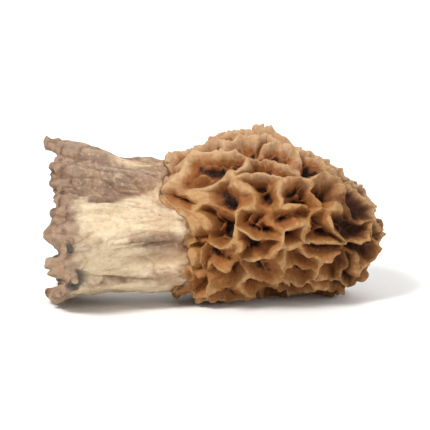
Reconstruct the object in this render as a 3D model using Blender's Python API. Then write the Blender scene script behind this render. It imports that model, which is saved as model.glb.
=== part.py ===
"""A dried morel lying on its side: one fruit body, with a net of ridges and pits on its cap, a wrinkled stem,
and a hollow that opens at the stem's cut end.

The skin is one closed surface. A profile runs from the cap's tip over its rim, along the stem, round the lip of
the cut end, and back up the hollow. It is carried round the mushroom's long line, and the ridges, pits and
wrinkles are raised from it by formula. The long line lies along X, with the cap at +X. Metres, +Z up.
"""

import bpy
import numpy as np

MM = 0.001

# Driving sizes. Stations are measured along the mushroom from the stem's cut end.
CAP_TIP_AT = 35.0 * MM
CAP_WIDEST_AT = 20.5 * MM
CAP_LOWER_REACH = 11.6 * MM
CAP_RADIUS = 10.2 * MM
CAP_BLUNTNESS = 0.8
CAP_RIM_ANGLE = np.radians(130)
RIM_WAVE = 0.7 * MM
RIM_WAVE_REACH = 3.0 * MM
RIM_WAVE_SPACING = 8 * MM
GROOVE_DEPTH = 0.5 * MM
GROOVE_LENGTH = 0.3 * MM
STEM_RADIUS = 7.5 * MM
STEM_WAIST = 0.06
FOOT_FLARE = 1.9 * MM
FOOT_LENGTH = 5.2 * MM
WALL = 1.6 * MM
LIP_SHARE = 0.6
LIP_LENGTH = 4 * MM
CHAMBER_FROM = 9 * MM
CHAMBER_TO = 16 * MM
HOLLOW_CAP_RADIUS = 6.0 * MM
HOLLOW_WIDEST_AT = 19.5 * MM
HOLLOW_END_AT = 29.0 * MM

# How the dried body is pressed out of round, and how its long line runs over the ground.
WIDE_SHARE = 1.05
HIGH_SHARE = 0.90
SIDE_BEND = 1.2 * MM
FOOT_HEIGHT = 8.2 * MM
CAP_HEIGHT = 8.65 * MM
CLIMB_FROM = -8 * MM
CLIMB_TO = 26 * MM
TIP_DROP = 2.2 * MM
DROP_FROM = 22 * MM
DROP_TO = 42 * MM
LUMP_SIZE = 0.55 * MM
LUMP_SPACING = 15 * MM

# The net of the cap. Depths are measured down from the crests of the ridges.
CELL_WIDTH = 3.5 * MM
CELL_LENGTH = 3.9 * MM
CELL_JITTER = 0.38
CELL_STRETCH = 0.85
CELL_WARP = 0.4 * MM
CELL_WARP_SPACING = 4.5 * MM
PIT_DEPTH = 2.3 * MM
PIT_DEPTH_SPREAD = 0.28
RIDGE_HALF_WIDTH = 0.62 * MM
RIDGE_STEEPNESS = 2.8
RIDGE_LEAN = 0.16 * MM
LEAN_SPACING = 6 * MM
UPRIGHT_NEAR_TIP = 0.5 * MM
LEANING_FROM_TIP = 3 * MM
CREST_SWELL = 0.22 * MM
SWELL_SPACING = 5 * MM
SADDLE_DROP = 0.32
SADDLE_SPACING = 5 * MM
RIM_FADE = 2.4 * MM
RIM_STRAY = 0.7 * MM
STRAY_SPACING = 4.5 * MM
NET_PAST_RIM = 2.0 * MM

# The stem's long folds and the torn edge of its cut end.
FOLD_DEPTH = 0.4 * MM
FOLD_SPACING = 3.8 * MM
FOLD_STRETCH = 0.2
LOBE_DEPTH = 0.6 * MM
LOBE_SPACING = 8 * MM
FOLDS_FADE_FROM = 9 * MM
FOLDS_FADE_TO = 17 * MM
TORN_REACH = 1.0 * MM
TORN_LENGTH = 3.5 * MM
TORN_SPACING = 5 * MM
FRILL = 0.5 * MM
FRILL_SPACING = 4.2 * MM

# The skin's grid, before it is thinned where it is smooth.
AROUND = 230
ROW_STEP = 0.28 * MM
HOLLOW_ROW_STEP = 0.9 * MM
TRIANGLES = 11300
SEED = 11

GROUND_SIDE = 200 * MM
GROUND_DEPTH = 20 * MM

CAP_COLOUR = (0.34, 0.17, 0.07, 1)
STEM_COLOUR = (0.72, 0.53, 0.33, 1)
FLESH_ROUGHNESS = 0.85


def ripple(points, spacing, seed, waves=16):
    """Smooth noise of about unit size: a sum of plane waves about one spacing long, in seeded directions."""
    rng = np.random.default_rng(SEED + seed)
    ways = rng.normal(size=(waves, 3))
    ways *= (2 * np.pi / spacing * rng.uniform(0.75, 1.3, waves) / np.linalg.norm(ways, axis=1))[:, None]
    return np.cos(points @ ways.T + rng.uniform(0, 2 * np.pi, waves)).sum(-1) * np.sqrt(2 / waves)


def ease(x, low, high):
    """0 below low, 1 above high, and a smooth step between them."""
    t = np.clip((x - low) / (high - low), 0, 1)
    return t * t * (3 - 2 * t)


def evenly(curve, step):
    """Points one step apart along a curve that is given by many points."""
    run = np.concatenate([[0], np.cumsum(np.linalg.norm(np.diff(curve, axis=0), axis=1))])
    at = np.linspace(0, run[-1], round(run[-1] / step) + 1)
    return np.stack([np.interp(at, run, curve[:, k]) for k in (0, 1)], axis=1)


def cap_outline():
    """Station and radius along the cap's crests, from the tip to the rim: a blunt egg."""
    angle = np.linspace(0, CAP_RIM_ANGLE, 400)
    reach = np.where(angle < np.pi / 2, CAP_TIP_AT - CAP_WIDEST_AT, CAP_LOWER_REACH)
    blunt = np.where(angle < np.pi / 2, CAP_BLUNTNESS, 1)
    return np.stack([CAP_WIDEST_AT + reach * np.cos(angle), CAP_RADIUS * np.sin(angle) ** blunt], axis=1)


def stem_radius(station):
    """The stem narrows to a waist half way up and flares at its foot."""
    waist = STEM_WAIST * np.sin(np.pi * np.clip(station / CAP_WIDEST_AT, 0, 1))
    return STEM_RADIUS * (1 - waist) + FOOT_FLARE * np.exp(-station / FOOT_LENGTH)


def wall(station):
    """The stem's wall thins towards the lip of its cut end."""
    return WALL * (1 - (1 - LIP_SHARE) * np.exp(-station / LIP_LENGTH))


def hollow_radius(station):
    """One wall inside the stem, and then an egg-shaped chamber inside the cap."""
    share = (station - HOLLOW_WIDEST_AT) / (HOLLOW_END_AT - HOLLOW_WIDEST_AT)
    chamber = HOLLOW_CAP_RADIUS * np.sqrt(np.clip(1 - share**2, 0, 1))
    blend = ease(station, CHAMBER_FROM, CHAMBER_TO)
    return (1 - blend) * (stem_radius(station) - wall(station)) + blend * chamber


def profile():
    """Rows of (station, radius) from the tip to the end of the hollow. With each row comes its signed distance
    to the rim along the skin, above 0 on the cap, and whether it is inside the hollow."""
    cap = evenly(cap_outline(), ROW_STEP)[1:]
    rim, groove_at = cap[-1], cap[-1][0] - GROOVE_LENGTH
    turn = np.linspace(0, 1, 60)[:, None]
    under = np.array([rim[0] - GROOVE_DEPTH, 0.5 * (rim[1] + STEM_RADIUS)])
    groove_end = np.array([groove_at, stem_radius(groove_at)])
    groove = (1 - turn) ** 2 * rim + 2 * turn * (1 - turn) * under + turn**2 * groove_end
    down = np.linspace(groove_at, 0, 200)
    stem = np.stack([down, stem_radius(down)], axis=1)
    lip_angle = np.linspace(0, np.pi, 40)
    lip = wall(0.0) / 2 * np.stack([-np.sin(lip_angle), np.cos(lip_angle) - 1], axis=1)
    lip[:, 1] += stem_radius(0.0)
    up = HOLLOW_END_AT * np.sin(np.linspace(0, np.pi / 2, 200))
    hollow = np.stack([up, hollow_radius(up)], axis=1)
    outside = evenly(np.concatenate([groove, stem[1:], lip[1:]]), ROW_STEP)[1:]
    inside = evenly(hollow, HOLLOW_ROW_STEP)[1:-1]
    rows = np.concatenate([cap, outside, inside])
    to_rim = ROW_STEP * (len(cap) - 1.0 - np.arange(len(rows)))
    in_hollow = np.arange(len(rows)) >= len(cap) + len(outside)
    return rows, to_rim, in_hollow


def pit_centres():
    """Centres of the cap's pits, on staggered rings from the tip to the rim. Each is moved by a seeded share of
    a cell."""
    rng = np.random.default_rng(SEED)
    rings = evenly(cap_outline(), CELL_LENGTH)
    centres = []
    for ring, (station, radius) in enumerate(rings):
        count = max(1, round(2 * np.pi * radius / CELL_WIDTH))
        turns = (np.arange(count) + 0.5 * (ring % 2) + CELL_JITTER * rng.uniform(-1, 1, count)) / count
        angle = 2 * np.pi * turns
        at = station + CELL_JITTER * CELL_LENGTH * rng.uniform(-1, 1, count)
        centres.append(np.stack([at, radius * np.cos(angle), radius * np.sin(angle)], axis=1))
    return np.concatenate(centres)


def net(places):
    """Distance to the nearest crest, and the share by which each pit is deeper or shallower. The crests lie
    where two centres are equally near."""
    stretch = np.array([CELL_STRETCH, 1, 1])
    warp = np.stack([ripple(places, CELL_WARP_SPACING, 20 + k) for k in range(3)], axis=1)
    centres = pit_centres() * stretch
    points = (places + CELL_WARP * warp) * stretch
    square = (points**2).sum(1)[:, None] - 2 * points @ centres.T + (centres**2).sum(1)
    nearest = square.argmin(1)
    between = np.linalg.norm(centres[:, None] - centres, axis=2)[nearest]
    gap = (square - square.min(1)[:, None]) / (2 * np.where(between > 0, between, np.inf))
    gap[np.arange(len(gap)), nearest] = np.inf
    depth = 1 + PIT_DEPTH_SPREAD * np.random.default_rng(SEED + 1).uniform(-1, 1, len(centres))
    return np.clip(gap.min(1), 0, None), depth[nearest]


def ridge(distance):
    """A rounded blade: 1 at its crest and a half at its half width."""
    return 1 / (1 + (distance / RIDGE_HALF_WIDTH) ** RIDGE_STEEPNESS)


def skin():
    """Points of the skin by row and column, and which rows are on the cap.

    A place on the skin is its profile's station and radius turned round the long line. Lumps, lobes and folds
    change the radius, the bend shifts and lifts the line, and the net moves each point of the cap along the
    surface's outward normal."""
    rows, to_rim, in_hollow = profile()
    angle = 2 * np.pi * np.arange(AROUND) / AROUND
    station, radius = (np.repeat(rows[:, k, None], AROUND, axis=1) for k in (0, 1))
    cosine, sine = np.cos(angle) + 0 * station, np.sin(angle) + 0 * station
    places = np.stack([station, radius * cosine, radius * sine], axis=-1)

    # Lumps and folds move the outside and the hollow together, so the wall keeps its thickness.
    tube = np.stack([station, STEM_RADIUS * cosine, STEM_RADIUS * sine], axis=-1)
    stem_share = 1 - ease(station, FOLDS_FADE_FROM, FOLDS_FADE_TO)
    near_cut = np.exp(-np.clip(station, 0, None) / TORN_LENGTH)
    folds = FOLD_DEPTH * ripple(tube * [FOLD_STRETCH, 1, 1], FOLD_SPACING, 1)
    lobes = LOBE_DEPTH * ripple(tube * [FOLD_STRETCH, 1, 1], LOBE_SPACING, 10)
    frill = FRILL * near_cut * np.tanh(ripple(tube * [0, 1, 1], FRILL_SPACING, 8))
    off_axis = np.clip(radius / STEM_RADIUS, 0, 1)
    lumps = LUMP_SIZE * ripple(tube, LUMP_SPACING, 2)
    grown = radius + off_axis * (lumps + stem_share * (lobes + folds) + frill)
    near_rim = np.where(in_hollow, 0, np.exp(-((to_rim / RIM_WAVE_REACH) ** 2)))[:, None]
    station = station + RIM_WAVE * near_rim * ripple(tube[0] * [0, 1, 1], RIM_WAVE_SPACING, 9)
    station = station + TORN_REACH * near_cut * np.tanh(ripple(tube * [0, 1, 1], TORN_SPACING, 3))

    run = station / CAP_TIP_AT
    side = SIDE_BEND * np.sin(np.pi * np.clip(run, 0, 1))
    height = FOOT_HEIGHT + (CAP_HEIGHT - FOOT_HEIGHT) * ease(station, CLIMB_FROM, CLIMB_TO)
    height = height - TIP_DROP * ease(station, DROP_FROM, DROP_TO)
    across_line = WIDE_SHARE * grown * cosine + side
    points = np.stack([station, across_line, HIGH_SHARE * grown * sine + height], axis=-1)

    along = np.gradient(points, axis=0)
    across = np.roll(points, -1, axis=1) - np.roll(points, 1, axis=1)
    along /= np.linalg.norm(along, axis=2)[..., None]
    across /= np.linalg.norm(across, axis=2)[..., None]
    outward = np.cross(along, across)

    # The net runs a little past the rim and fades out there, so that pits break the rim's line.
    netted = to_rim > -NET_PAST_RIM
    spots = places[netted].reshape(-1, 3)
    from_rim = np.repeat(to_rim[netted], AROUND)
    gap, depth = net(spots)
    saddle = 1 - SADDLE_DROP * ease(ripple(spots, SADDLE_SPACING, 7), 0, 1.5)
    past_rim = from_rim - RIM_STRAY * ripple(spots, STRAY_SPACING, 8)
    crest = np.maximum(saddle * ridge(gap), 1 - ease(past_rim, -0.2 * RIM_FADE, 0.8 * RIM_FADE))
    level = ease(from_rim, -NET_PAST_RIM, 0)
    rise = level * (CREST_SWELL * ripple(spots, SWELL_SPACING, 4) - PIT_DEPTH * depth * (1 - crest))
    off_tip = ease(np.hypot(spots[:, 1], spots[:, 2]), UPRIGHT_NEAR_TIP, LEANING_FROM_TIP)
    lean = RIDGE_LEAN * off_tip * level * crest
    moved = rise[:, None] * outward[netted].reshape(-1, 3)
    moved += (lean * ripple(spots, LEAN_SPACING, 5))[:, None] * along[netted].reshape(-1, 3)
    moved += (lean * ripple(spots, LEAN_SPACING, 6))[:, None] * across[netted].reshape(-1, 3)
    points[netted] += moved.reshape(-1, AROUND, 3)
    return points, to_rim >= 0


def closed_mesh(name, points, on_cap):
    """The grid of points as one closed mesh, with a point at the tip and one at the end of the hollow."""
    rows, around = points.shape[:2]
    tip, end = points[0].mean(0), points[-1].mean(0)
    vertices = np.concatenate([points.reshape(-1, 3), [tip, end]])
    here = np.arange((rows - 1) * around).reshape(-1, around)
    beside = np.roll(here, -1, axis=1)
    quads = np.stack([here, here + around, beside + around, beside], axis=-1).reshape(-1, 4)
    first = np.arange(around)
    last = first + (rows - 1) * around
    fans = [
        np.stack([np.full(around, rows * around), first, np.roll(first, -1)], axis=1),
        np.stack([last, np.full(around, rows * around + 1), np.roll(last, -1)], axis=1),
    ]
    mesh = bpy.data.meshes.new(name)
    mesh.from_pydata(vertices.tolist(), [], quads.tolist() + np.concatenate(fans).tolist())
    of_cap = np.repeat(on_cap[1:], around)
    slots = np.concatenate([of_cap, np.ones(around), np.zeros(around)])
    mesh.polygons.foreach_set("material_index", np.where(slots > 0, 0, 1).astype(np.int32))
    mesh.shade_smooth()
    return mesh


def flesh(name, colour):
    """Dry, dull mushroom flesh."""
    material = bpy.data.materials.new(name)
    material.use_nodes = True
    shader = material.node_tree.nodes["Principled BSDF"]
    shader.inputs["Base Color"].default_value = colour
    shader.inputs["Roughness"].default_value = FLESH_ROUGHNESS
    material.diffuse_color = colour
    return material


def ground_cutter():
    """A block whose top is the ground. What the body rests on is worn flat there."""
    bpy.ops.mesh.primitive_cube_add(size=1, location=(0, 0, -GROUND_DEPTH / 2))
    block = bpy.context.object
    block.name = "ground_cutter"
    block.scale = (GROUND_SIDE, GROUND_SIDE, GROUND_DEPTH)
    block.hide_render = True
    block.display_type = "WIRE"
    return block


def morel():
    """The fruit body, thinned where it is smooth, cut flat where it rests, and centred on its ground point."""
    mesh = closed_mesh("morel", *skin())
    mesh.materials.append(flesh("cap_flesh", CAP_COLOUR))
    mesh.materials.append(flesh("stem_flesh", STEM_COLOUR))
    body = bpy.data.objects.new("morel", mesh)
    bpy.context.collection.objects.link(body)
    mesh.calc_loop_triangles()
    thin = body.modifiers.new("thin", "DECIMATE")
    thin.ratio = TRIANGLES / len(mesh.loop_triangles)
    rest = body.modifiers.new("rest", "BOOLEAN")
    rest.operation = "DIFFERENCE"
    rest.solver = "EXACT"
    rest.object = ground_cutter()
    bpy.context.view_layer.update()
    finished = body.evaluated_get(bpy.context.evaluated_depsgraph_get())
    corners = np.array([vertex.co for vertex in finished.to_mesh().vertices])
    finished.to_mesh_clear()
    middle = (corners.min(0) + corners.max(0)) / 2
    body.location = (-middle[0], -middle[1], 0)
    return body


def main():
    for old in list(bpy.data.objects):
        bpy.data.objects.remove(old)
    morel()


main()
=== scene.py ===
"""A dried morel on a pale table, laid out as a Blender add-on and run as a script.

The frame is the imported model. One closed surface replaces its plain solid. It is the same profile carried
round the same long line, on a much finer grid, with the creases, folds and torn edges of dried flesh.
Metres, +Z up, the cap at +X.
"""

from types import SimpleNamespace

import bpy
import numpy as np
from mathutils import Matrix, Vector


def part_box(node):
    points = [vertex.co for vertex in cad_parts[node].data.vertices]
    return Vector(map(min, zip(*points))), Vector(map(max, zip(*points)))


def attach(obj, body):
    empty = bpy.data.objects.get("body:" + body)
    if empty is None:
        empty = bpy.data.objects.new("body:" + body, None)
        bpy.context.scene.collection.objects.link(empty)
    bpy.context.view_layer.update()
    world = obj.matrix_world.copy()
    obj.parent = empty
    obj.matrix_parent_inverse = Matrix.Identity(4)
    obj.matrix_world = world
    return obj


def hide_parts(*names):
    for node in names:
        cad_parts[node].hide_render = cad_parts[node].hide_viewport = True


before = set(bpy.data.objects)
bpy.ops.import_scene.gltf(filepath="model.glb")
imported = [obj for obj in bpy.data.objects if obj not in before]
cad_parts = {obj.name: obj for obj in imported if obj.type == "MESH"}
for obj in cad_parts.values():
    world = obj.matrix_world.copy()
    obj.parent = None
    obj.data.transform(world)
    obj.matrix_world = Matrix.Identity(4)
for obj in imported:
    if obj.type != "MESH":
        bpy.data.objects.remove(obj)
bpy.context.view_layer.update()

bl_info = {
    "name": "Dried Morel",
    "version": (1, 0, 0),
    "blender": (4, 5, 0),
    "location": "3D View > Sidebar > Morel",
    "description": "Builds a dried morel mushroom with a netted cap and a wrinkled hollow stem",
    "category": "Add Mesh",
}

MM = 0.001

# Every random draw starts from the seed. A wave of a ripple is finer or wider than its spacing by a share.
SEED = 11
WAVE_SPREAD = (0.75, 1.3)

# The smooth body under the net, as in the part's source.
CAP_TIP_AT = 35.0 * MM
CAP_WIDEST_AT = 20.5 * MM
CAP_LOWER_REACH = 11.6 * MM
CAP_BLUNTNESS = 0.8
CAP_RIM_ANGLE = np.radians(130)
RIM_WAVE = 0.7 * MM
RIM_WAVE_REACH = 3.0 * MM
RIM_WAVE_SPACING = 8 * MM
GROOVE_DEPTH = 0.5 * MM
GROOVE_LENGTH = 0.3 * MM
STEM_WAIST = 0.06
FOOT_LENGTH = 5.2 * MM
LIP_SHARE = 0.6
LIP_LENGTH = 4 * MM
CHAMBER_FROM = 9 * MM
CHAMBER_TO = 16 * MM
HOLLOW_CAP_RADIUS = 6.0 * MM
HOLLOW_WIDEST_AT = 19.5 * MM
HOLLOW_END_AT = 29.0 * MM
WIDE_SHARE = 1.05
HIGH_SHARE = 0.90
SIDE_BEND = 1.2 * MM
FOOT_HEIGHT = 8.2 * MM
CAP_HEIGHT = 8.65 * MM
CLIMB_FROM = -8 * MM
CLIMB_TO = 26 * MM
TIP_DROP = 2.2 * MM
DROP_FROM = 22 * MM
DROP_TO = 42 * MM
LUMP_SIZE = 0.55 * MM
LUMP_SPACING = 15 * MM

# Where the middle of the solid's box was, before the solid was moved to have it at the origin.
BOX_MIDDLE_STATION = 16.89 * MM
BOX_MIDDLE_SIDE = 0.563 * MM

# How many points each curve of the profile is drawn with, before they are spaced evenly.
OUTLINE_POINTS = 400
GROOVE_POINTS = 60
STEM_POINTS = 200
LIP_POINTS = 40
HOLLOW_POINTS = 200

# The net of ridges and pits.
CELL_LENGTH = 3.9 * MM
CELL_WIDTH = 3.5 * MM
CELL_JITTER = 0.38
CELL_STRETCH = 0.85
CELL_WARP = 0.4 * MM
CELL_WARP_SPACING = 4.5 * MM
PIT_DEPTH_SPREAD = 0.28
RIDGE_STEEPNESS = 2.8
RIDGE_LEAN = 0.16 * MM
LEAN_SPACING = 6 * MM
UPRIGHT_NEAR_TIP = 0.5 * MM
LEANING_FROM_TIP = 3 * MM
CREST_SWELL = 0.22 * MM
SWELL_SPACING = 5 * MM
SADDLE_DROP = 0.32
SADDLE_SPACING = 5 * MM
SADDLE_LOWEST_AT = 1.5
RIM_FADE = 2.4 * MM
FADE_BELOW_RIM = 0.2
FADE_ABOVE_RIM = 0.8
RIM_STRAY = 0.7 * MM
STRAY_SPACING = 4.5 * MM
NET_PAST_RIM = 2.0 * MM

# The stem's folds and its torn edge.
FOLD_SPACING = 3.8 * MM
FOLD_STRETCH = 0.2
LOBE_DEPTH = 0.6 * MM
LOBE_SPACING = 8 * MM
FOLDS_FADE_FROM = 9 * MM
FOLDS_FADE_TO = 17 * MM
TORN_REACH = 1.0 * MM
TORN_LENGTH = 3.5 * MM
TORN_SPACING = 5 * MM
FRILL = 0.5 * MM
FRILL_SPACING = 4.2 * MM

# What is too fine for the solid, first on the cap and the stem alike. Here and below, a pair of values is
# where a smooth step starts and where it ends.
FOLDED_MEAN = 0.8
CREASE_SPACING = 0.8 * MM

# Too fine for the solid on the cap.
GYRUS_SPACING = 1.9 * MM
BLADE_SPACING = 2.7 * MM
BLADE = (0.55, 0)
BLADE_TINT = 0.45
DIVIDED_SPACING = 4.5 * MM
DIVIDED = (-0.7, 0.5)
CRINKLE_SPACING = 1.3 * MM
WANDER_SPACING = 1.7 * MM
CREST_COVERS_CREASES = 0.4

# Too fine for the solid on the stem. A stretch under 1 draws a noise out along the length.
WRINKLE_SPACING = 1.7 * MM
WRINKLE_STRETCH = 0.3
CREASE_STRETCH = 0.45
CREASE_LIFT = 0.1
FURROW_SPACING = 7 * MM
FURROW_STRETCH = 0.12
FURROW_WIDTH = 0.22
FURROW_PATCH_STRETCH = 0.3
FURROW_PATCH = (-0.3, 0.8)
CRUMPLE_SPACING = 1.4 * MM
CRUMPLE_LENGTH = 2.2 * MM
CRUMPLE_HOLLOW = (0.9, 1.7)
STEM_STARTS_WITHIN = 1.5 * MM

# Along the torn edge, in wide bites and in tatters that are small on calm stretches.
TATTER_LENGTH = 1.2 * MM
BITE_SPACING = 3.0 * MM
TATTER_SPACING = 1.6 * MM
TATTER_SHARE = 0.8
SMALL_TATTER_SPACING = 1.0 * MM
SMALL_TATTER_SHARE = 0.5
CALM = 0.3
RAGGED = 0.9
RAGGED_PATCH = (-0.8, 0.8)

# Where the foot is squeezed against the ground.
PRESSED_UNDER = 2.5 * MM
SUNK = 0.4 * MM
FOOT_FADES_FROM = 6 * MM
FOOT_FADES_TO = 12 * MM
WHOLLY_FOOT = 0.9

# Where the flesh changes its colour, and how far the painted shade under the rim reaches. Distances to the
# rim are below 0 on the stem.
CAP_EDGE_SPACING = 2.5 * MM
CAP_EDGE = (-1.5 * MM, -0.5 * MM)
UNDER_RIM_SHADE_LENGTH = 2.5 * MM
BROWNED_LENGTH = 2.2 * MM
DARKER_FROM_TIP = 11 * MM
DARKEST_NEAR_TIP = 2 * MM
TONGUE_LENGTH = 5.5 * MM
TONGUE_SPACING = 3 * MM
TONGUE_STRETCH = 0.5
TONGUE_SPREAD = 0.6
STREAK_SPACING = 4 * MM
STREAK_STRETCH = 0.35
STREAK_SHARE = 0.5
ON_TOP = (0, 0.9)
ON_TOP_SHARE = 1.35
AGED = (0.3, 1.6)
CHIP_SHARE = 0.4
NOTCHED = (0.35, 0.8)
NOTCH_REACH = (2.8 * MM, 0.8 * MM)

# The clouds, fibres and grain of the colours.
WIDE_CLOUDS = 9 * MM
PATCHES = 2.2 * MM
SPECKLES = 0.5 * MM
GRAINS = 0.16 * MM
FIBRES = 0.9 * MM
FIBRE_STRETCH = 0.12
HAIRS = 0.3 * MM
HAIR_STRETCH = 0.08
NOISE_ROUGHNESS = 0.6
NOISE_SHIFT = (0.013, 0.029, 0.017)
GLOSS = 0.2
PORE_DEPTH = 0.12 * MM
PORE_STRENGTH = 0.7

# The fine grid, before it is thinned where it is smooth.
AROUND = 544
ROW_STEP = 0.12 * MM
HOLLOW_ROW_STEP = 0.45 * MM
TRIANGLES = 192000

# The stage: lamps by place and width, and how near and far the camera sees.
TABLE_HALF = 1.5
TABLE_ROUGHNESS = 0.6
KEY_PLACE, KEY_WIDTH = (-0.16, -0.16, 0.26), 0.10
FILL_PLACE, FILL_WIDTH = (0.25, -0.2, 0.12), 0.25
BACK_PLACE, BACK_WIDTH = (0.10, 0.24, 0.20), 0.25
SEES_FROM, SEES_TO = 0.01, 10


def ripple(points, spacing, seed, waves=16):
    """Smooth noise of about unit size: a sum of plane waves about one spacing long, in seeded directions.
    Each seed gives a noise of its own, and the same one every run."""
    rng = np.random.default_rng(SEED + seed)
    ways = rng.normal(size=(waves, 3))
    ways *= (2 * np.pi / spacing * rng.uniform(*WAVE_SPREAD, waves) / np.linalg.norm(ways, axis=1))[:, None]
    return np.cos(points @ ways.T + rng.uniform(0, 2 * np.pi, waves)).sum(-1) * np.sqrt(2 / waves)


def folded(points, spacing, seed):
    """Puckered noise from 0 to about 2: the size of a ripple without its sign, so that swollen folds meet in
    sharp creases at 0. Its mean is about FOLDED_MEAN."""
    return np.abs(ripple(points, spacing, seed))


def ease(x, low, high):
    """0 below low, 1 above high, and the smooth step 3 t**2 - 2 t**3 between. low may be the greater."""
    t = np.clip((x - low) / (high - low), 0, 1)
    return t * t * (3 - 2 * t)


def evenly(curve, step):
    """Points one step apart along a curve that is given by many points."""
    run = np.concatenate([[0], np.cumsum(np.linalg.norm(np.diff(curve, axis=0), axis=1))])
    at = np.linspace(0, run[-1], round(run[-1] / step) + 1)
    return np.stack([np.interp(at, run, curve[:, k]) for k in (0, 1)], axis=1)


def cap_outline(shape):
    """Station and radius along the cap's crests, from the tip to the rim: a blunt egg.

    The station is widest + reach * cos(angle), and the radius cap_radius * sin(angle) ** bluntness."""
    angle = np.linspace(0, CAP_RIM_ANGLE, OUTLINE_POINTS)
    reach = np.where(angle < np.pi / 2, CAP_TIP_AT - CAP_WIDEST_AT, CAP_LOWER_REACH)
    blunt = np.where(angle < np.pi / 2, CAP_BLUNTNESS, 1)
    radius = shape.cap_radius * np.sin(angle) ** blunt
    return np.stack([CAP_WIDEST_AT + reach * np.cos(angle), radius], axis=1)


def stem_radius(shape, station):
    """The stem's radius. A sine narrows it to a waist half way up, and exp(-station / length) flares its
    foot."""
    waist = STEM_WAIST * np.sin(np.pi * np.clip(station / CAP_WIDEST_AT, 0, 1))
    return shape.stem_radius * (1 - waist) + shape.foot_flare * np.exp(-station / FOOT_LENGTH)


def wall(shape, station):
    """The stem's wall thins towards the lip of its cut end, by exp(-station / length)."""
    return shape.wall * (1 - (1 - LIP_SHARE) * np.exp(-station / LIP_LENGTH))


def hollow_radius(shape, station):
    """One wall inside the stem, and then an ellipse for the chamber inside the cap."""
    share = (station - HOLLOW_WIDEST_AT) / (HOLLOW_END_AT - HOLLOW_WIDEST_AT)
    chamber = HOLLOW_CAP_RADIUS * np.sqrt(np.clip(1 - share**2, 0, 1))
    blend = ease(station, CHAMBER_FROM, CHAMBER_TO)
    return (1 - blend) * (stem_radius(shape, station) - wall(shape, station)) + blend * chamber


def profile(shape):
    """Rows of (station, radius) from the tip to the end of the hollow: the cap's egg, a curved groove under
    the rim, the stem, half a circle for the lip, and the hollow. With each row comes its signed distance to
    the rim along the skin, above 0 on the cap, and whether it is inside the hollow."""
    cap = evenly(cap_outline(shape), ROW_STEP)[1:]
    rim, groove_at = cap[-1], cap[-1][0] - GROOVE_LENGTH
    turn = np.linspace(0, 1, GROOVE_POINTS)[:, None]
    under = np.array([rim[0] - GROOVE_DEPTH, 0.5 * (rim[1] + shape.stem_radius)])
    groove_end = np.array([groove_at, stem_radius(shape, groove_at)])
    groove = (1 - turn) ** 2 * rim + 2 * turn * (1 - turn) * under + turn**2 * groove_end
    down = np.linspace(groove_at, 0, STEM_POINTS)
    stem = np.stack([down, stem_radius(shape, down)], axis=1)
    lip_angle = np.linspace(0, np.pi, LIP_POINTS)
    lip_radius = wall(shape, 0.0) / 2
    lip = lip_radius * np.stack([-np.sin(lip_angle), np.cos(lip_angle) - 1], axis=1)
    lip[:, 1] += stem_radius(shape, 0.0)
    up = HOLLOW_END_AT * np.sin(np.linspace(0, np.pi / 2, HOLLOW_POINTS))
    hollow = np.stack([up, hollow_radius(shape, up)], axis=1)
    outside = evenly(np.concatenate([groove, stem[1:], lip[1:]]), ROW_STEP)[1:]
    inside = evenly(hollow, HOLLOW_ROW_STEP)[1:-1]
    rows = np.concatenate([cap, outside, inside])
    to_rim = ROW_STEP * (len(cap) - 1.0 - np.arange(len(rows)))
    in_hollow = np.arange(len(rows)) >= len(cap) + len(outside)
    return rows, to_rim, in_hollow


def pit_centres(shape):
    """Centres of the cap's pits, on staggered rings from the tip to the rim. Each is moved by a seeded share
    of a cell."""
    rng = np.random.default_rng(SEED)
    rings = evenly(cap_outline(shape), CELL_LENGTH)
    centres = []
    for ring, (station, radius) in enumerate(rings):
        count = max(1, round(2 * np.pi * radius / CELL_WIDTH))
        turns = (np.arange(count) + 0.5 * (ring % 2) + CELL_JITTER * rng.uniform(-1, 1, count)) / count
        angle = 2 * np.pi * turns
        at = station + CELL_JITTER * CELL_LENGTH * rng.uniform(-1, 1, count)
        centres.append(np.stack([at, radius * np.cos(angle), radius * np.sin(angle)], axis=1))
    return np.concatenate(centres)


def net(shape, places):
    """Distance to the nearest crest, and the share by which each pit is deeper or shallower.

    The crests lie where two centres are equally near. So the distance to one is the difference between the
    squares of the distances to both centres, over twice the distance between them."""
    stretch = np.array([CELL_STRETCH, 1, 1])
    warp = np.stack([ripple(places, CELL_WARP_SPACING, 20 + k) for k in range(3)], axis=1)
    centres = pit_centres(shape) * stretch
    points = (places + CELL_WARP * warp) * stretch
    square = (points**2).sum(1)[:, None] - 2 * points @ centres.T + (centres**2).sum(1)
    nearest = square.argmin(1)
    between = np.linalg.norm(centres[:, None] - centres, axis=2)[nearest]
    gap = (square - square.min(1)[:, None]) / (2 * np.where(between > 0, between, np.inf))
    gap[np.arange(len(gap)), nearest] = np.inf
    depth = 1 + PIT_DEPTH_SPREAD * np.random.default_rng(SEED + 1).uniform(-1, 1, len(centres))
    return np.clip(gap.min(1), 0, None), depth[nearest]


def ridge(shape, distance):
    """A rounded blade, 1 / (1 + (distance / half width) ** steepness): 1 at its crest and a half at its half
    width."""
    return 1 / (1 + (distance / shape.ridge_half_width) ** RIDGE_STEEPNESS)


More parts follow.
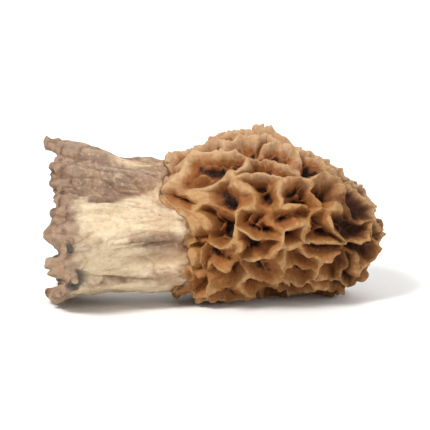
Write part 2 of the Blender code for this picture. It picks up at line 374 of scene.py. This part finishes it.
def smooth_body(shape):
    """The body under the net, by row and column of its skin.

    A place on the skin is its profile's station and radius turned round the long line. Lumps, lobes and
    folds change the radius. Torn steps, bites and tatters move the lip of the cut end along the line, less
    and less by exp(-station / length). The bend shifts the line by a sine, and smooth steps lift it and drop
    its tip."""
    body = SimpleNamespace()
    rows, body.to_rim, body.in_hollow = profile(shape)
    angle = 2 * np.pi * np.arange(AROUND) / AROUND
    station, radius = (np.repeat(rows[:, k, None], AROUND, axis=1) for k in (0, 1))
    cosine, sine = np.cos(angle) + 0 * station, np.sin(angle) + 0 * station
    body.upward = sine
    body.places = np.stack([station, radius * cosine, radius * sine], axis=-1)
    body.tube = np.stack([station, shape.stem_radius * cosine, shape.stem_radius * sine], axis=-1)
    body.off_axis = np.clip(radius / shape.stem_radius, 0, 1)
    body.to_lip = np.clip(station, 0, None)

    # Lumps and folds move the outside and the hollow together, so the wall keeps its thickness.
    on_stem = 1 - ease(station, FOLDS_FADE_FROM, FOLDS_FADE_TO)
    near_cut = np.exp(-body.to_lip / TORN_LENGTH)
    lengthwise = body.tube * [FOLD_STRETCH, 1, 1]
    round_about = body.tube * [0, 1, 1]
    body.fold = ripple(lengthwise, FOLD_SPACING, 1)
    lumps = LUMP_SIZE * ripple(body.tube, LUMP_SPACING, 2)
    folds = LOBE_DEPTH * ripple(lengthwise, LOBE_SPACING, 10) + shape.fold_depth * body.fold
    frill = FRILL * near_cut * np.tanh(ripple(round_about, FRILL_SPACING, 8))
    grown = radius + body.off_axis * (lumps + on_stem * folds + frill)

    body.torn = np.tanh(ripple(round_about, TORN_SPACING, 3))
    near_rim = np.where(body.in_hollow, 0, np.exp(-((body.to_rim / RIM_WAVE_REACH) ** 2)))[:, None]
    station = station + RIM_WAVE * near_rim * ripple(round_about[0], RIM_WAVE_SPACING, 9)
    station = station + TORN_REACH * near_cut * body.torn
    at_lip = np.exp(-np.clip(station, 0, None) / TATTER_LENGTH)
    small = FOLDED_MEAN - folded(body.tube, SMALL_TATTER_SPACING, 48)
    bites = ripple(body.tube, BITE_SPACING, 52)
    ragged = CALM + RAGGED * ease(ripple(round_about, TORN_SPACING, 51), *RAGGED_PATCH)
    notches = TATTER_SHARE * ripple(body.tube, TATTER_SPACING, 31) + SMALL_TATTER_SHARE * small
    station = station + shape.tatter * at_lip * (bites + ragged * notches)

    side = SIDE_BEND * np.sin(np.pi * np.clip(station / CAP_TIP_AT, 0, 1))
    height = FOOT_HEIGHT + (CAP_HEIGHT - FOOT_HEIGHT) * ease(station, CLIMB_FROM, CLIMB_TO)
    height = height - TIP_DROP * ease(station, DROP_FROM, DROP_TO)
    across_line = WIDE_SHARE * grown * cosine + side
    body.station = station
    body.points = np.stack([station, across_line, HIGH_SHARE * grown * sine + height], axis=-1)

    # Outward is square to the two ways along the skin, down the rows and round the columns.
    body.along = np.gradient(body.points, axis=0)
    body.across = np.roll(body.points, -1, axis=1) - np.roll(body.points, 1, axis=1)
    body.along /= np.linalg.norm(body.along, axis=2)[..., None]
    body.across /= np.linalg.norm(body.across, axis=2)[..., None]
    body.outward = np.cross(body.along, body.across)
    return body


def net_cap(shape, body, netted):
    """Raise the cap's net, with gyri and thin blades in its pits, fine creases and crinkled crests.

    The skin moves outward by swell - pit_depth * (1 - crest), where crest is 1 on a ridge and falls off on
    both sides. The net runs a little past the rim and fades out there, so that pits break the rim's line.
    Returns how high each netted point is towards a crest, and how far from a crease."""
    spots = body.places[netted].reshape(-1, 3)
    from_rim = np.repeat(body.to_rim[netted], AROUND)
    gap, depth = net(shape, spots)
    saddle = 1 - SADDLE_DROP * ease(ripple(spots, SADDLE_SPACING, 7), 0, SADDLE_LOWEST_AT)
    past_rim = from_rim - RIM_STRAY * ripple(spots, STRAY_SPACING, 8)
    faded = 1 - ease(past_rim, -FADE_BELOW_RIM * RIM_FADE, FADE_ABOVE_RIM * RIM_FADE)
    crest = np.maximum(saddle * ridge(shape, gap), faded)
    level = ease(from_rim, -NET_PAST_RIM, 0)

    gyri = folded(spots, GYRUS_SPACING, 32)
    creases = folded(spots, CREASE_SPACING, 33)
    divided = ease(ripple(spots, DIVIDED_SPACING, 45), *DIVIDED)
    blades = divided * (1 - crest) * ease(folded(spots, BLADE_SPACING, 44), *BLADE)
    rise = CREST_SWELL * ripple(spots, SWELL_SPACING, 4) - shape.pit_depth * depth * (1 - crest)
    rise += shape.inner_ridges * blades + shape.creases * (creases - FOLDED_MEAN)
    rise += shape.crest_crinkle * crest * ripple(spots, CRINKLE_SPACING, 34)
    rise = level * rise + shape.pit_folds * (1 - crest) * (gyri - FOLDED_MEAN)

    moved = rise[:, None] * body.outward[netted].reshape(-1, 3)
    upright = ease(np.hypot(spots[:, 1], spots[:, 2]), UPRIGHT_NEAR_TIP, LEANING_FROM_TIP)
    for k, way in enumerate((body.along, body.across)):
        lean = RIDGE_LEAN * ripple(spots, LEAN_SPACING, 5 + k)
        lean += shape.crest_crinkle * ripple(spots, WANDER_SPACING, 35 + k)
        moved += (upright * level * crest * lean)[:, None] * way[netted].reshape(-1, 3)
    body.points[netted] += moved.reshape(-1, AROUND, 3)
    return crest + BLADE_TINT * blades, np.minimum(gyri + crest, creases + CREST_COVERS_CREASES * crest)


def wrinkle_stem(shape, body, bare):
    """Pucker the stem and the hollow: wrinkles drawn out along the length, over fine creases, with a few
    long furrows where a ripple crosses 0, and crumpled near the torn edge.

    The skin moves outward by wrinkles and creases, less a furrow's depth * exp(-(crossing ** 2)), plus the
    crumples * exp(-distance to the lip / length). Returns how far each bare point is from a crease."""
    spots = body.tube[bare]
    wrinkles = folded(spots * [WRINKLE_STRETCH, 1, 1], WRINKLE_SPACING, 40)
    fine = folded(spots * [CREASE_STRETCH, 1, 1], CREASE_SPACING, 41)
    crumples = folded(spots, CRUMPLE_SPACING, 47)
    near_lip = np.exp(-body.to_lip[bare] / CRUMPLE_LENGTH)
    crossing = ripple(spots * [FURROW_STRETCH, 1, 1], FURROW_SPACING, 49) / FURROW_WIDTH
    patch = ease(ripple(spots * [FURROW_PATCH_STRETCH, 1, 1], FURROW_SPACING, 50), *FURROW_PATCH)
    furrows = np.exp(-(crossing**2)) * patch
    past_net = ease(-body.to_rim[bare] - NET_PAST_RIM, 0, STEM_STARTS_WITHIN)[:, None]
    pucker = shape.wrinkles * (wrinkles - FOLDED_MEAN) + shape.creases * (fine - FOLDED_MEAN)
    pucker += shape.crumples * near_lip * (FOLDED_MEAN - crumples) - shape.furrows * furrows
    body.points[bare] += (past_net * body.off_axis[bare] * pucker)[..., None] * body.outward[bare]
    hollows = near_lip * ease(crumples, *CRUMPLE_HOLLOW)
    return np.minimum(np.minimum(wrinkles, fine + CREASE_LIFT), np.minimum(1 - furrows, 1 - hollows))


def press_foot(body):
    """Squeeze the foot's underside up, so that the ground then flattens its skin and not the whole lip.

    Depths under PRESSED_UNDER shrink by one share, which leaves the lowest point SUNK deep in the ground."""
    height = body.points[..., 2]
    on_foot = 1 - ease(body.station, FOOT_FADES_FROM, FOOT_FADES_TO)
    lowest = height[on_foot > WHOLLY_FOOT].min()
    share = min(1, (PRESSED_UNDER + SUNK) / (PRESSED_UNDER - lowest))
    height += on_foot * (1 - share) * np.clip(PRESSED_UNDER - height, 0, None)


def skin(shape):
    """Points of the skin by row and column, and the marks that the flesh is coloured by. Most marks run from
    0 to 1. The fold is a ripple, and upper is the sine of the angle round the line."""
    body = smooth_body(shape)
    netted = body.to_rim > -NET_PAST_RIM
    crest, crease = net_cap(shape, body, netted)
    marks = {name: np.zeros(body.station.shape) for name in ("crest", "crease")}
    marks["crest"][netted] = crest.reshape(-1, AROUND)
    marks["crease"][netted] = crease.reshape(-1, AROUND)
    marks["crease"][~netted] = wrinkle_stem(shape, body, ~netted)
    press_foot(body)

    to_rim = body.to_rim[:, None] + 0 * body.station
    stray = RIM_STRAY * np.tanh(ripple(body.places, CAP_EDGE_SPACING, 42))
    marks["cap"] = ease(to_rim + stray, *CAP_EDGE)
    # Painted shade on the stem, fading with the distance below the rim.
    marks["under_rim_shade"] = (to_rim < 0) * np.exp(np.minimum(to_rim, 0) / UNDER_RIM_SHADE_LENGTH)
    marks["hollow"] = np.where(body.in_hollow, 1.0, 0.0)[:, None] + 0 * body.station
    marks["foot"] = np.exp(-np.clip(body.station, 0, None) / BROWNED_LENGTH)
    marks["tip"] = ease(body.station, CAP_TIP_AT - DARKER_FROM_TIP, CAP_TIP_AT - DARKEST_NEAR_TIP)
    marks["fold"] = body.fold
    marks["upper"] = body.upward

    # Old flesh runs up from the torn foot in tongues, and lies in streaks on the upper side.
    spread = ripple(body.tube * [TONGUE_STRETCH, 1, 1], TONGUE_SPACING, 46)
    tongues = TONGUE_LENGTH * np.exp(TONGUE_SPREAD * spread)
    streaks = ripple(body.tube * [STREAK_STRETCH, 1, 1], STREAK_SPACING, 43)
    on_top = ON_TOP_SHARE * ease(body.upward, *ON_TOP)
    marks["aged"] = ease(np.exp(-body.to_lip / tongues) + on_top + STREAK_SHARE * streaks, *AGED)

    # Dark flesh lies in the deepest notches of the torn edge.
    chipped = body.torn + CHIP_SHARE * ripple(body.tube, TATTER_SPACING, 31)
    marks["notch"] = ease(chipped, *NOTCHED) * ease(body.to_lip, *NOTCH_REACH)
    return body.points, marks


def closed_mesh(name, points, marks):
    """The grid of points as one closed mesh, with a point at the tip and one at the end of the hollow. Each
    mark becomes an attribute of the points."""
    rows, around = points.shape[:2]
    vertices = np.concatenate([points.reshape(-1, 3), [points[0].mean(0), points[-1].mean(0)]])
    here = np.arange((rows - 1) * around).reshape(-1, around)
    beside = np.roll(here, -1, axis=1)
    quads = np.stack([here, here + around, beside + around, beside], axis=-1).reshape(-1, 4)
    first = np.arange(around)
    last = first + (rows - 1) * around
    tip_fan = np.stack([np.full(around, rows * around), first, np.roll(first, -1)], axis=1)
    end_fan = np.stack([last, np.full(around, rows * around + 1), np.roll(last, -1)], axis=1)
    mesh = bpy.data.meshes.new(name)
    mesh.from_pydata(vertices.tolist(), [], quads.tolist() + tip_fan.tolist() + end_fan.tolist())
    for mark, values in marks.items():
        layer = mesh.attributes.new(mark, "FLOAT", "POINT")
        ends = [values[0].mean(), values[-1].mean()]
        layer.data.foreach_set("value", np.concatenate([values.ravel(), ends]))
    mesh.shade_smooth()
    return mesh


def put(tree, kind, inputs=(), **settings):
    """One node with its settings. A socket among the inputs is linked, and anything else is set."""
    node = tree.nodes.new(kind)
    for key, value in settings.items():
        setattr(node, key, value)
    for key, value in dict(inputs).items():
        if isinstance(value, bpy.types.NodeSocket):
            tree.links.new(value, node.inputs[key])
        else:
            node.inputs[key].default_value = value
    return node


def mark(tree, name):
    """The value of one of the piece's own attributes."""
    return put(tree, "ShaderNodeAttribute", attribute_name=name).outputs["Fac"]


def noise(tree, spacing, stretch=(1, 1, 1), detail=3.0, seed=0.0):
    """Cloudy noise from 0 to 1 in Object coordinates, about one spacing from cloud to cloud. Each seed reads
    another part of the same clouds."""
    where = put(tree, "ShaderNodeTexCoord").outputs["Object"]
    shift = tuple(each * seed for each in NOISE_SHIFT)
    placed = put(tree, "ShaderNodeMapping", {"Vector": where, "Scale": stretch, "Location": shift})
    clouds = {"Vector": placed.outputs["Vector"], "Scale": 1 / spacing, "Detail": detail}
    clouds["Roughness"] = NOISE_ROUGHNESS
    return put(tree, "ShaderNodeTexNoise", clouds).outputs["Fac"]


def reckon(tree, operation, first, second=0.0, third=0.0):
    """One sum on two or three values, kept between 0 and 1 where the operation's name ends in a star."""
    node = put(tree, "ShaderNodeMath", {0: first, 1: second, 2: third}, operation=operation.rstrip("*"))
    node.use_clamp = operation.endswith("*")
    return node.outputs[0]


def step(tree, value, low, high):
    """0 at low, 1 at high and a smooth step between. low may be the greater."""
    inputs = {"Value": value, "From Min": low, "From Max": high}
    return put(tree, "ShaderNodeMapRange", inputs, interpolation_type="SMOOTHSTEP").outputs["Result"]


def blend(tree, share, first, second):
    """The first colour where share is 0, and the second where it is 1."""
    node = put(tree, "ShaderNodeMix", data_type="RGBA")
    for index, value in ((0, share), (6, first), (7, second)):
        if isinstance(value, bpy.types.NodeSocket):
            tree.links.new(value, node.inputs[index])
        else:
            node.inputs[index].default_value = value if index == 0 else (*value[:3], 1)
    return node.outputs[2]


def laid(tree, under, over, share, strength=1.0):
    """One colour laid over another by a share, where a whole share is as strong as given."""
    return blend(tree, reckon(tree, "MULTIPLY", share, strength), under, over)


def ramp(tree, value, stops):
    """Colours at their places along a value."""
    node = put(tree, "ShaderNodeValToRGB", {"Fac": value})
    band = node.color_ramp
    band.elements[0].position, band.elements[-1].position = stops[0][0], stops[-1][0]
    for place, _ in stops[1:-1]:
        band.elements.new(place)
    for stop, (_, tint) in zip(band.elements, stops):
        stop.color = (*tint[:3], 1)
    return node.outputs["Color"]


def flesh(colours):
    """Dried flesh: pale crests over orange-brown walls on the cap, with painted shade that darkens the lower
    walls to near-black pits and fills the creases, cream with tan fibres on the stem, with painted shade in
    its folds, its creases and under the rim, a painted shadow line along the rim, a browned torn foot, and a
    dull tan hollow.

    Each colour is laid over those before it, where a mark or a noise is between the two values of a step,
    and as strongly as the last value says."""
    material = bpy.data.materials.new("dried_flesh")
    material.use_nodes = True
    tree = material.node_tree
    shader = tree.nodes["Principled BSDF"]
    crest, crease, fold, aged = (mark(tree, name) for name in ("crest", "crease", "fold", "aged"))
    wide, patchy = noise(tree, WIDE_CLOUDS, seed=1), noise(tree, PATCHES, seed=2)
    speckle, grain = noise(tree, SPECKLES, seed=3), noise(tree, GRAINS, detail=2.0, seed=4)

    # The cap, by height over the pits, with painted shade that darkens the lower walls and the pit floors,
    # lighter on its upper side and darker towards the tip.
    height = reckon(tree, "MULTIPLY_ADD", patchy, 0.5, crest)
    height = reckon(tree, "MULTIPLY_ADD", speckle, 0.3, height)
    height = reckon(tree, "SUBTRACT*", height, 0.4)
    # Painted shade: the ramp runs from the walls' orange-brown down to near-black at the pit floors.
    stops = [(0.11, colours.pit), (0.18, colours.low_wall_shade), (0.29, colours.wall), (0.58, colours.upper_wall_and_rim_shade)]
    stops += [(0.88, colours.crest_side), (1.0, colours.crest)]
    cap = ramp(tree, height, stops)
    upper = reckon(tree, "MULTIPLY_ADD", wide, 0.8, mark(tree, "upper"))
    lighter_above = reckon(tree, "MULTIPLY", step(tree, upper, 0.8, 1.6), step(tree, height, 0.4, 0.9))
    cap = laid(tree, cap, colours.lighter_above, lighter_above, 0.75)
    near_tip = reckon(tree, "MULTIPLY_ADD", wide, 0.9, mark(tree, "tip"))
    dark_tip = reckon(tree, "MULTIPLY", step(tree, near_tip, 0.7, 1.3), step(tree, height, 1.2, 0.3))
    cap = laid(tree, cap, colours.dark_tip, dark_tip, 0.9)
    # Painted shade in the cap's fine creases.
    cap = laid(tree, cap, colours.low_wall_shade, step(tree, crease, 0.4, 0.04), 0.6)

    # The stem, by fibres and stains, with painted shade in its folds and creases.
    fibres = noise(tree, FIBRES, stretch=(FIBRE_STRETCH, 1, 1), seed=5)
    stem = laid(tree, colours.cream, colours.tan, step(tree, fibres, 0.42, 0.68), 0.6)
    # Painted shade in the grooves of the long folds, and in the creases.
    stem = laid(tree, stem, colours.fold, step(tree, fold, -0.2, -1.6), 0.6)
    stem = laid(tree, stem, colours.fold, step(tree, crease, 0.24, 0.03), 0.5)
    stained = reckon(tree, "MULTIPLY", step(tree, patchy, 0.5, 0.7), step(tree, wide, 0.4, 0.6))
    stem = laid(tree, stem, colours.tan, stained, 0.4)

    # The stem's old flesh, with hairs, a browned foot, painted shade in its creases, and dark notches.
    old_flesh = blend(tree, step(tree, fibres, 0.4, 0.6), colours.mauve, colours.weathered)
    old_flesh = laid(tree, old_flesh, colours.tan, step(tree, speckle, 0.5, 0.7), 0.4)
    streaked = reckon(tree, "MULTIPLY_ADD", patchy, 1.2, reckon(tree, "ADD", fibres, aged))
    is_old = step(tree, streaked, 1.15, 2.05)
    stem = laid(tree, stem, old_flesh, is_old, 0.9)
    hairs = noise(tree, HAIRS, stretch=(HAIR_STRETCH, 1, 1), detail=1.0, seed=6)
    stem = laid(tree, stem, colours.fold, step(tree, hairs, 0.55, 0.75), 0.3)
    browned = reckon(tree, "MULTIPLY_ADD", patchy, 1.3, mark(tree, "foot"))
    stem = laid(tree, stem, colours.foot, step(tree, browned, 1.0, 1.6), 0.75)
    # Painted shade in the creases of the old flesh.
    creased = reckon(tree, "MULTIPLY", is_old, step(tree, crease, 0.45, 0.05))
    stem = laid(tree, stem, colours.low_wall_shade, creased, 0.45)
    notched = reckon(tree, "MULTIPLY", mark(tree, "notch"), step(tree, patchy, 0.25, 0.5))
    stem = laid(tree, stem, colours.spot, notched, 0.9)

    # Painted shade on the stem under the rim, and the hollow.
    under_rim_shade = reckon(tree, "MULTIPLY", mark(tree, "under_rim_shade"), step(tree, patchy, 0.3, 0.6))
    stem = laid(tree, stem, colours.upper_wall_and_rim_shade, under_rim_shade, 0.85)
    inside = blend(tree, step(tree, patchy, 0.35, 0.65), colours.hollow, colours.fold)
    stem = blend(tree, mark(tree, "hollow"), stem, inside)

    # The whole, with a painted shadow line along the rim, where the cap's colour ends.
    on_cap = mark(tree, "cap")
    colour = blend(tree, on_cap, stem, cap)
    rim_shadow = reckon(tree, "MULTIPLY", step(tree, on_cap, 0.0, 0.4), step(tree, on_cap, 1.0, 0.6))
    rim_shadow = reckon(tree, "MULTIPLY", rim_shadow, step(tree, patchy, 0.3, 0.55))
    colour = laid(tree, colour, colours.low_wall_shade, rim_shadow, 0.75)
    lighter = reckon(tree, "MULTIPLY_ADD", speckle, 0.5, 0.75)
    mottled = put(tree, "ShaderNodeVectorMath", {0: colour}, operation="SCALE")
    tree.links.new(lighter, mottled.inputs["Scale"])
    tree.links.new(mottled.outputs["Vector"], shader.inputs["Base Color"])
    tree.links.new(reckon(tree, "MULTIPLY_ADD*", grain, 0.25, 0.62), shader.inputs["Roughness"])
    shader.inputs["Specular IOR Level"].default_value = GLOSS

    # Mealy grain over small pores, drawn by the light alone.
    rough = reckon(tree, "MULTIPLY_ADD", speckle, 2.0, grain)
    pores = {"Height": rough, "Strength": PORE_STRENGTH, "Distance": PORE_DEPTH}
    bump = put(tree, "ShaderNodeBump", pores)
    tree.links.new(bump.outputs["Normal"], shader.inputs["Normal"])
    return material


def plain(name, colour, roughness):
    """An even, dull finish."""
    material = bpy.data.materials.new(name)
    material.use_nodes = True
    shader = material.node_tree.nodes["Principled BSDF"]
    shader.inputs["Base Color"].default_value = (*colour[:3], 1)
    shader.inputs["Roughness"].default_value = roughness
    return material


def soft_light(name, place, target, width, power):
    """A square area lamp that faces its target."""
    lamp = bpy.data.lights.new(name, "AREA")
    lamp.size = width
    lamp.energy = power
    holder = bpy.data.objects.new(name, lamp)
    holder.location = place
    holder.rotation_euler = (Vector(target) - Vector(place)).to_track_quat("-Z", "Y").to_euler()
    bpy.context.scene.collection.objects.link(holder)
    return holder


def length(name, description, default):
    """A size in metres that a user can change."""
    return bpy.props.FloatProperty(
        name=name, description=description, default=default, min=0, precision=5, unit="LENGTH"
    )


def colour(name, description, default):
    """A colour that a user can change."""
    return bpy.props.FloatVectorProperty(
        name=name, description=description, default=default, subtype="COLOR", size=3, min=0, max=1
    )


def angle(name, description, default):
    """An angle in radians that a user can change."""
    return bpy.props.FloatProperty(name=name, description=description, default=default, subtype="ANGLE")


def power(name, description, default):
    """A lamp's power in watts that a user can change."""
    return bpy.props.FloatProperty(name=name, description=description, default=default, min=0, unit="POWER")


class MorelShape(bpy.types.PropertyGroup):
    """The mushroom's sizes"""

    cap_radius: length("Cap radius", "Radius of the cap over its ridges", 10.2 * MM)
    stem_radius: length("Stem radius", "Radius of the stem above its foot", 7.5 * MM)
    foot_flare: length("Foot flare", "How much wider the foot is", 1.9 * MM)
    wall: length("Wall", "Thickness of the stem's wall", 1.6 * MM)
    pit_depth: length("Pit depth", "Depth of the pits under the ridges", 2.3 * MM)
    ridge_half_width: length("Ridge half width", "Half the width of a ridge at half its height", 0.62 * MM)
    pit_folds: length("Pit folds", "Height of the folds on the pits' walls", 0.42 * MM)
    inner_ridges: length("Inner ridges", "Height of the thin blades that divide some pits", 0.65 * MM)
    crest_crinkle: length("Crest crinkle", "How far the crests wander up, down and sideways", 0.13 * MM)
    fold_depth: length("Fold depth", "Depth of the stem's long folds", 0.4 * MM)
    wrinkles: length("Wrinkles", "Height of the stem's wrinkles", 0.16 * MM)
    furrows: length("Furrows", "Depth of the stem's few long furrows", 0.5 * MM)
    creases: length("Creases", "Height between the finest creases", 0.08 * MM)
    crumples: length("Crumples", "Height of the crumpled flesh at the torn foot", 0.22 * MM)
    tatter: length("Tatter", "How far the torn edge's small notches go", 0.2 * MM)


class MorelColours(bpy.types.PropertyGroup):
    """The colours of the flesh and the table"""

    crest: colour("Crest", "Worn tops of the ridges", (0.37, 0.205, 0.083))
    crest_side: colour("Crest side", "Just under the tops of the ridges", (0.285, 0.125, 0.038))
    # The upper walls' own colour, and the colour of the painted shade on the stem under the rim.
    upper_wall_and_rim_shade: colour("Upper wall", "Sides of the ridges near their tops", (0.25, 0.091, 0.023))
    wall: colour("Wall", "Sides of the ridges", (0.20, 0.066, 0.0165))
    # Painted shade: the foot of the pits' walls, the creases of the cap and of the stem's old flesh, and the
    # line along the rim.
    low_wall_shade: colour("Lower wall", "Foot of the pits' walls", (0.075, 0.024, 0.0085))
    # Painted shade at the floor of the pits.
    pit: colour("Pit", "Floor of the pits", (0.010, 0.0035, 0.0015))
    # Darker towards the cap's tip.
    dark_tip: colour("Scorched", "The cap's darker tip", (0.035, 0.011, 0.004))
    # Lighter ridges on the cap's upper side.
    lighter_above: colour("Bleached", "Ridges on the cap's upper side", (0.48, 0.32, 0.19))
    weathered: colour("Weathered", "Old flesh of the stem", (0.285, 0.19, 0.123))
    mauve: colour("Mauve", "Greyer parts of the stem's old flesh", (0.178, 0.113, 0.083))
    cream: colour("Cream", "Flesh of the stem", (0.60, 0.485, 0.33))
    tan: colour("Tan", "Fibres and stains of the stem", (0.56, 0.41, 0.25))
    # Painted shade in the grooves of the stem's folds and in its creases, and the colour of its dark hairs
    # and of patches in the hollow.
    fold: colour("Fold", "Bottom of the stem's folds", (0.32, 0.20, 0.11))
    foot: colour("Foot", "Browned edge of the torn foot", (0.26, 0.165, 0.11))
    spot: colour("Spot", "Dark specks at the torn foot", (0.05, 0.042, 0.036))
    hollow: colour("Hollow", "Inside of the stem", (0.40, 0.28, 0.18))
    table: colour("Table", "The surface that the mushroom lies on", (0.86, 0.85, 0.83))


class MorelStage(bpy.types.PropertyGroup):
    """The camera and the lights"""

    azimuth: angle("Azimuth", "Camera's turn round the mushroom", np.radians(-6))
    elevation: angle("Elevation", "Camera's angle above the table", np.radians(12))
    distance: length("Distance", "From the camera to the mushroom", 0.45)
    lens: bpy.props.FloatProperty(
        name="Lens", description="Focal length on a 36 mm frame", default=345, min=1, unit="CAMERA"
    )
    key: power("Key light", "Power of the light from the upper left", 1.3)
    fill: power("Fill light", "Power of the light from the right", 0.5)
    back: power("Back light", "Power of the light from behind", 0.55)
    sky: bpy.props.FloatProperty(
        name="Sky", description="Strength of the even light from all round", default=0.5, min=0
    )


class MOREL_OT_body(bpy.types.Operator):
    """Add the mushroom's body, from its cap to its torn foot"""

    bl_idname = "morel.body"
    bl_label = "Morel body"

    def execute(self, context):
        scene = context.scene
        points, marks = skin(scene.morel_shape)
        points -= [BOX_MIDDLE_STATION, BOX_MIDDLE_SIDE, 0]

        # The ground flattens what would go under it.
        points[..., 2] = np.clip(points[..., 2], 0, None)
        fine = bpy.data.objects.new("fine_grid", closed_mesh("fine_grid", points, marks))
        scene.collection.objects.link(fine)

        # The grid is thinned where it is smooth, and the result is the piece.
        thin = fine.modifiers.new("thin", "DECIMATE")
        fine.data.calc_loop_triangles()
        thin.ratio = TRIANGLES / len(fine.data.loop_triangles)
        graph = context.evaluated_depsgraph_get()
        mesh = bpy.data.meshes.new_from_object(fine.evaluated_get(graph), depsgraph=graph)
        mesh.name = "morel_body"
        bpy.data.objects.remove(fine)
        body = bpy.data.objects.new("morel_body", mesh)
        scene.collection.objects.link(body)
        mesh.materials.append(flesh(scene.morel_colours))
        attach(body, "root")
        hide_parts("morel")
        return {"FINISHED"}


class MOREL_OT_stage(bpy.types.Operator):
    """Add the table, the soft lights and the camera"""

    bl_idname = "morel.stage"
    bl_label = "Morel stage"

    def execute(self, context):
        scene, setup = context.scene, context.scene.morel_stage
        corners = [(x * TABLE_HALF, y * TABLE_HALF, 0) for x, y in ((-1, -1), (1, -1), (1, 1), (-1, 1))]
        mesh = bpy.data.meshes.new("table")
        mesh.from_pydata(corners, [], [(0, 1, 2, 3)])
        table = bpy.data.objects.new("table", mesh)
        mesh.materials.append(plain("table", scene.morel_colours.table, TABLE_ROUGHNESS))
        scene.collection.objects.link(table)

        world = bpy.data.worlds.new("studio")
        world.use_nodes = True
        world.node_tree.nodes["Background"].inputs["Color"].default_value = (1, 1, 1, 1)
        world.node_tree.nodes["Background"].inputs["Strength"].default_value = setup.sky
        scene.world = world
        low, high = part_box("morel")
        centre = (Vector(low) + Vector(high)) / 2
        soft_light("key", KEY_PLACE, centre, KEY_WIDTH, setup.key)
        soft_light("fill", FILL_PLACE, centre, FILL_WIDTH, setup.fill)
        soft_light("back", BACK_PLACE, centre, BACK_WIDTH, setup.back)

        # The camera looks along -back at the middle of the mushroom.
        azimuth, elevation = setup.azimuth, setup.elevation
        flat = np.cos(elevation)
        back = Vector((np.sin(azimuth) * flat, -np.cos(azimuth) * flat, np.sin(elevation)))
        lens = bpy.data.cameras.new("camera")
        lens.lens = setup.lens
        lens.clip_start, lens.clip_end = SEES_FROM, SEES_TO
        camera = bpy.data.objects.new("camera", lens)
        camera.location = centre + back * setup.distance
        camera.rotation_euler = (-back).to_track_quat("-Z", "Y").to_euler()
        scene.collection.objects.link(camera)
        scene.camera = camera
        scene.view_settings.view_transform = "Standard"
        return {"FINISHED"}


class MOREL_PT_panel(bpy.types.Panel):
    """The mushroom's sizes, colours and buttons"""

    bl_idname = "MOREL_PT_panel"
    bl_label = "Dried Morel"
    bl_space_type = "VIEW_3D"
    bl_region_type = "UI"
    bl_category = "Morel"

    def draw(self, context):
        for group in (context.scene.morel_shape, context.scene.morel_colours, context.scene.morel_stage):
            box = self.layout.box()
            for name in group.__annotations__:
                box.prop(group, name)
        for operator in (MOREL_OT_body, MOREL_OT_stage):
            self.layout.operator(operator.bl_idname)


CLASSES = (MorelShape, MorelColours, MorelStage, MOREL_OT_body, MOREL_OT_stage, MOREL_PT_panel)
GROUPS = {"morel_shape": MorelShape, "morel_colours": MorelColours, "morel_stage": MorelStage}


def register():
    """Add the classes, and each group of properties to the scene."""
    for kind in CLASSES:
        bpy.utils.register_class(kind)
    for name, group in GROUPS.items():
        setattr(bpy.types.Scene, name, bpy.props.PointerProperty(type=group))


def unregister():
    """Take away what register added, in the opposite order."""
    for name in GROUPS:
        delattr(bpy.types.Scene, name)
    for kind in reversed(CLASSES):
        bpy.utils.unregister_class(kind)


def main():
    """Build the mushroom and its stage."""
    register()
    bpy.ops.morel.body()
    bpy.ops.morel.stage()


if __name__ == "__main__":
    main()
